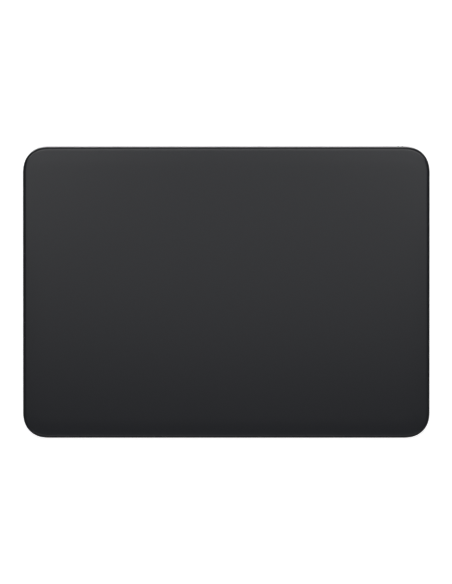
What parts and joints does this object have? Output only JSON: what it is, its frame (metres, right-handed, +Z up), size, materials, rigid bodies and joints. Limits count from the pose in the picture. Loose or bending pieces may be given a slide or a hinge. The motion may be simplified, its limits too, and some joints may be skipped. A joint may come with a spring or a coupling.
{
  "type": "trackpad",
  "caption": "Wedge-shaped haptic trackpad: black glass top on an aluminium tray, USB-C socket and power slider at the rear.",
  "frame": {"origin": "on the table top, under the middle of the part's bounding box", "axes": "+X to the user's right along the long side, +Y to the rear, where the socket is, +Z up from the table"},
  "size_m": [0.16, 0.1149, 0.0109],
  "materials": {
    "black_glass": "satin black back-painted glass",
    "silver_aluminium": "bead-blasted, clear anodised",
    "cover_plastic": "fine matte moulding",
    "foot_rubber": "soft matte",
    "clear_glue": "adhesive film",
    "circuit_board": "solder mask",
    "plate_aluminium": "plain rolled",
    "spring_steel": "bright spring steel",
    "screw_steel": "zinc plated",
    "iron_core": "stacked laminations",
    "bracket_steel": "stamped",
    "copper_wire": "enamelled copper wire",
    "gel_pad": "clear silicone gel",
    "cell_pouch": "laminated pouch",
    "ribbon_film": "polyimide film",
    "chip_plastic": "moulded chip",
    "connector_plastic": "moulded connector",
    "shield_steel": "tinned sheet",
    "port_steel": "nickel plated",
    "black_plastic": "moulded",
    "slider_plastic": "fine matte moulding",
    "green_marker": "printed strip"
  },
  "bodies": {
    "base": {"actuator_bracket": "bracket_steel", "actuator_core_left": "iron_core", "actuator_core_right": "iron_core", "actuator_screws": "screw_steel", "antenna": "black_plastic", "antenna_cable": "black_plastic", "battery_board": "circuit_board", "battery_cell": "cell_pouch", "battery_flex": "ribbon_film", "board_chips": "chip_plastic", "board_connector": "connector_plastic", "board_screws": "screw_steel", "bottom_cover": "cover_plastic", "coil_left_front": "copper_wire", "coil_left_middle": "copper_wire", "coil_left_rear": "copper_wire", "coil_right_front": "copper_wire", "coil_right_middle": "copper_wire", "coil_right_rear": "copper_wire", "cover_adhesive": "clear_glue", "flexure_front_left": "spring_steel", "flexure_front_right": "spring_steel", "flexure_rear_left": "spring_steel", "flexure_rear_right": "spring_steel", "flexure_screws": "screw_steel", "foot_front_left": "foot_rubber", "foot_front_right": "foot_rubber", "foot_rear_left": "foot_rubber", "foot_rear_right": "foot_rubber", "gauge_flex": "ribbon_film", "housing": "silver_aluminium", "isolator_pad_front_left": "gel_pad", "isolator_pad_front_right": "gel_pad", "isolator_pad_rear_left": "gel_pad", "isolator_pad_rear_right": "gel_pad", "main_board": "circuit_board", "shield_can": "shield_steel", "strain_gauges": "ribbon_film", "switch_body": "black_plastic", "switch_guide": "black_plastic", "switch_marker": "green_marker", "touch_flex": "ribbon_film", "usb_shell": "port_steel", "usb_tongue": "black_plastic"},
    "press_carrier": {"plate_screws": "screw_steel", "load_button_front_left": "spring_steel", "load_button_front_right": "spring_steel", "load_button_rear_left": "spring_steel", "load_button_rear_right": "spring_steel"},
    "touch_plate": {"touch_glass": "black_glass", "sensor_adhesive": "clear_glue", "sensor_board": "circuit_board", "stiffener_plate": "plate_aluminium", "armature_bar_left": "iron_core", "armature_bar_right": "iron_core", "touch_controller": "chip_plastic", "touch_connector": "connector_plastic"},
    "power_slider": {"switch_slider": "slider_plastic", "switch_lever": "black_plastic"}
  },
  "joints": [
    {"name": "power_switch", "type": "slide", "parent": "base", "child": "power_slider", "axis": [-1, 0, 0], "range_m": [0, 0.002]},
    {"name": "touch_press", "type": "slide", "parent": "base", "child": "press_carrier", "axis": [0, 0.0524, -0.9986], "range_m": [0, 0.0002], "stiffness_N_per_m": 35000, "deforming": ["isolator_pad_front_left", "isolator_pad_front_right", "isolator_pad_rear_left", "isolator_pad_rear_right", "touch_flex"]},
    {"name": "haptic_shift", "type": "slide", "parent": "press_carrier", "child": "touch_plate", "axis": [1, 0, 0], "range_m": [-0.0001, 0.0001], "stiffness_N_per_m": 20000}
  ]
}
